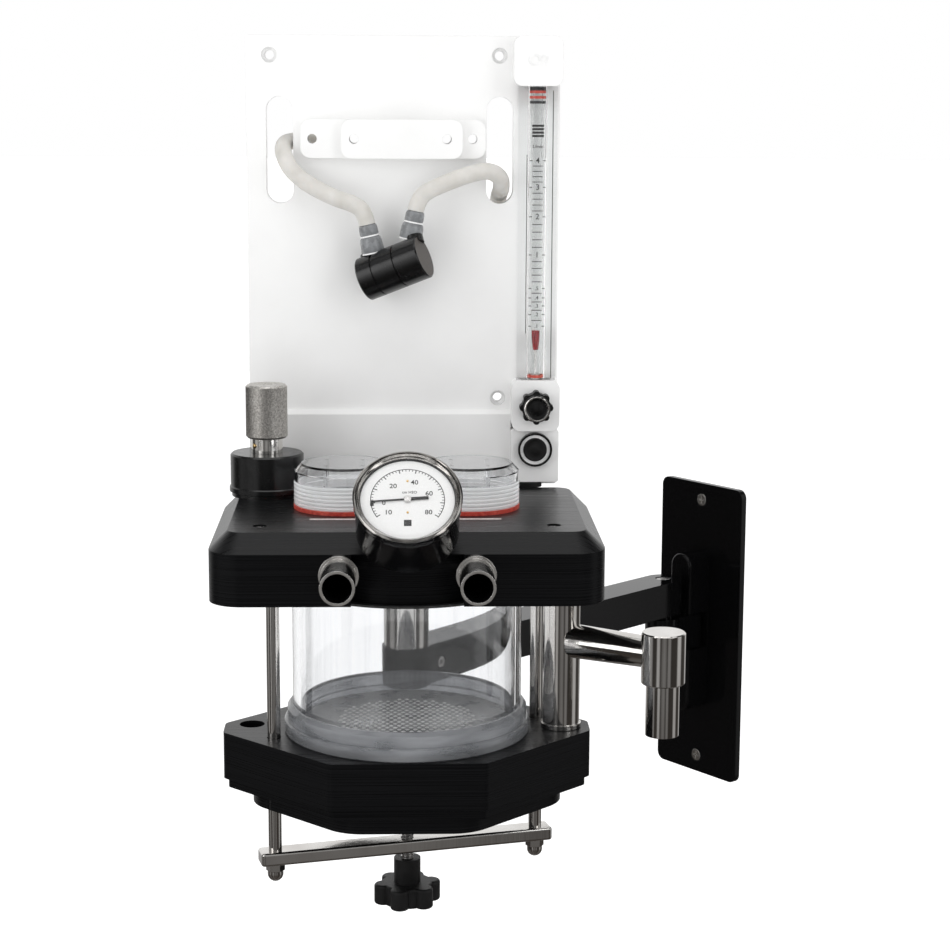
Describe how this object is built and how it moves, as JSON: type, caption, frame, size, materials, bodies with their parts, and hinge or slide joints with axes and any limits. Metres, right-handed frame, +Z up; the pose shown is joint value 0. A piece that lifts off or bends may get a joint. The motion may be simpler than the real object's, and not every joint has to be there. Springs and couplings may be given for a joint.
{
  "type": "wall-mounted anaesthetic circle absorber",
  "caption": "Wall-mounted anaesthetic circle absorber: clear canister between black blocks, valve domes, gauge, relief valve, flowmeter panel, bag arm and swing-arm wall bracket.",
  "frame": {"origin": "centre of the wall plate's back face", "axes": "+Z up; +X to the right and -Y towards a user who faces the machine in its stored pose, with the wall plate turned 54 degrees from it"},
  "size_m": [0.4, 0.5124, 0.5964],
  "materials": {
    "black_machined": "machined black acetal",
    "black_gloss": "gloss black powder coat",
    "black_moulded": "moulded black nylon",
    "chrome": "polished nickel and chrome plate",
    "steel": "plain stainless steel",
    "knurled_steel": "fine diamond knurl",
    "clear": "clear acrylic",
    "grey_clear": "grey translucent acrylic",
    "red_seal": "red silicone",
    "gasket": "black rubber",
    "white_panel": "white machined polyethylene",
    "white_ring": "white moulded ring",
    "dial": "white printed dial",
    "needle": "black lacquer",
    "valve_mica": "thin black disc",
    "float": "dark red",
    "hose": "translucent white silicone",
    "fitting": "nickel brass"
  },
  "bodies": {
    "wall": {"wall_plate": "black_gloss", "wall_screws": "steel", "wall_bracket": "black_gloss", "bracket_pin": "steel"},
    "link": {"knuckle_link": "black_gloss", "link_pin": "steel"},
    "arm": {"swing_arm": "black_gloss", "arm_set_screw": "steel"},
    "machine": {"pivot_post": "chrome", "upper_block": "black_machined", "block_screws": "steel", "breathing_ports": "chrome", "gauge_case": "black_gloss", "gauge_bezel": "chrome", "gauge_lens": "clear", "gauge_dial": "dial", "valve_domes": "clear", "dome_rings": "clear", "dome_seals": "red_seal", "valve_seats": "steel", "relief_base": "black_machined", "relief_neck": "chrome", "relief_spring": "steel", "canister_gasket": "gasket", "tie_rods": "chrome", "acorn_nuts": "chrome", "clamp_bar": "chrome", "back_panel": "white_panel", "lower_panel": "white_panel", "panel_foot": "black_moulded", "mount_rails": "white_panel", "flow_end_blocks": "white_panel", "flow_body": "clear", "flow_tube": "clear", "flow_seals": "red_seal", "float_stop": "steel", "flush_ring": "white_ring", "left_hose": "hose", "right_hose": "hose", "bypass_set": "black_machined", "hose_fittings": "fitting"},
    "needle": {"gauge_needle": "needle"},
    "inhale_valve": {"inhale_disc": "valve_mica"},
    "exhale_valve": {"exhale_disc": "valve_mica"},
    "relief_cap": {"relief_knob": "knurled_steel"},
    "relief_shaft": {"relief_stem": "steel"},
    "relief_valve": {"relief_disc": "valve_mica"},
    "canister": {"canister_tube": "clear", "canister_collar": "grey_clear", "screen_plate": "grey_clear", "lower_block": "black_machined", "sealing_plate": "black_machined", "bottom_cover": "black_machined"},
    "clamp": {"clamp_screw": "steel", "star_knob": "black_moulded"},
    "bag_mount": {"return_column": "chrome", "bag_arm": "chrome"},
    "flow_bobbin": {"flow_float": "float"},
    "flow_control": {"flow_knob": "black_moulded"},
    "flush": {"flush_button": "black_moulded"}
  },
  "joints": [
    {"name": "link_swing", "type": "hinge", "parent": "wall", "child": "link", "pos_m": [-0.01335, -0.0097, 0.002], "axis": [0, 0, 1], "range_deg": [-25, 25]},
    {"name": "arm_swing", "type": "hinge", "parent": "link", "child": "arm", "pos_m": [-0.03725, -0.02704, 0.033], "axis": [0, 0, 1], "range_deg": [-80, 80]},
    {"name": "machine_swivel", "type": "hinge", "parent": "arm", "child": "machine", "pos_m": [-0.24624, -0.23404, 0.048], "axis": [0, 0, 1], "range_deg": [-145, 50]},
    {"name": "gauge_needle_turn", "type": "hinge", "parent": "machine", "child": "needle", "pos_m": [-0.24624, -0.45045, 0.19482], "axis": [0, -0.7071, 0.7071], "range_deg": [-205, 25]},
    {"name": "inhale_valve_lift", "type": "slide", "parent": "machine", "child": "inhale_valve", "axis": [0, 0, 1], "range_m": [0, 0.005]},
    {"name": "exhale_valve_lift", "type": "slide", "parent": "machine", "child": "exhale_valve", "axis": [0, 0, 1], "range_m": [0, 0.005]},
    {"name": "relief_turn", "type": "hinge", "parent": "machine", "child": "relief_cap", "pos_m": [-0.34154, -0.27604, 0.2404], "axis": [0, 0, 1], "range_deg": [-361, 0]},
    {"name": "relief_set", "type": "slide", "parent": "machine", "child": "relief_shaft", "axis": [0, 0, 1], "range_m": [-0.002, 0]},
    {"name": "relief_lift", "type": "slide", "parent": "machine", "child": "relief_valve", "axis": [0, 0, 1], "range_m": [0, 0.002], "stiffness_N_per_m": 200, "springref_m": -0.002, "deforming": ["relief_spring"]},
    {"name": "canister_drop", "type": "slide", "parent": "machine", "child": "canister", "axis": [0, 0, 1], "range_m": [-0.008, 0]},
    {"name": "clamp_turn", "type": "hinge", "parent": "canister", "child": "clamp", "pos_m": [-0.24624, -0.34204, -0.0905], "axis": [0, 0, 1], "range_deg": [-1441, 0]},
    {"name": "bag_arm_swivel", "type": "hinge", "parent": "machine", "child": "bag_mount", "pos_m": [-0.14325, -0.34204, 0.078], "axis": [0, 0, 1], "range_deg": [-70, 100]},
    {"name": "float_rise", "type": "slide", "parent": "machine", "child": "flow_bobbin", "axis": [0, 0, 1], "range_m": [0, 0.16]},
    {"name": "flow_turn", "type": "hinge", "parent": "machine", "child": "flow_control", "pos_m": [-0.15665, -0.25804, 0.2226], "axis": [0, -1, 0], "range_deg": [0, 720]},
    {"name": "flush_press", "type": "slide", "parent": "machine", "child": "flush", "axis": [0, 1, 0], "range_m": [0, 0.003], "stiffness_N_per_m": 600, "springref_m": -0.003}
  ],
  "couplings": [
    {"joint": "clamp_turn", "follows": "canister_drop", "rad_per_m": 3141.6},
    {"joint": "relief_turn", "follows": "relief_set", "rad_per_m": 3141.6}
  ]
}
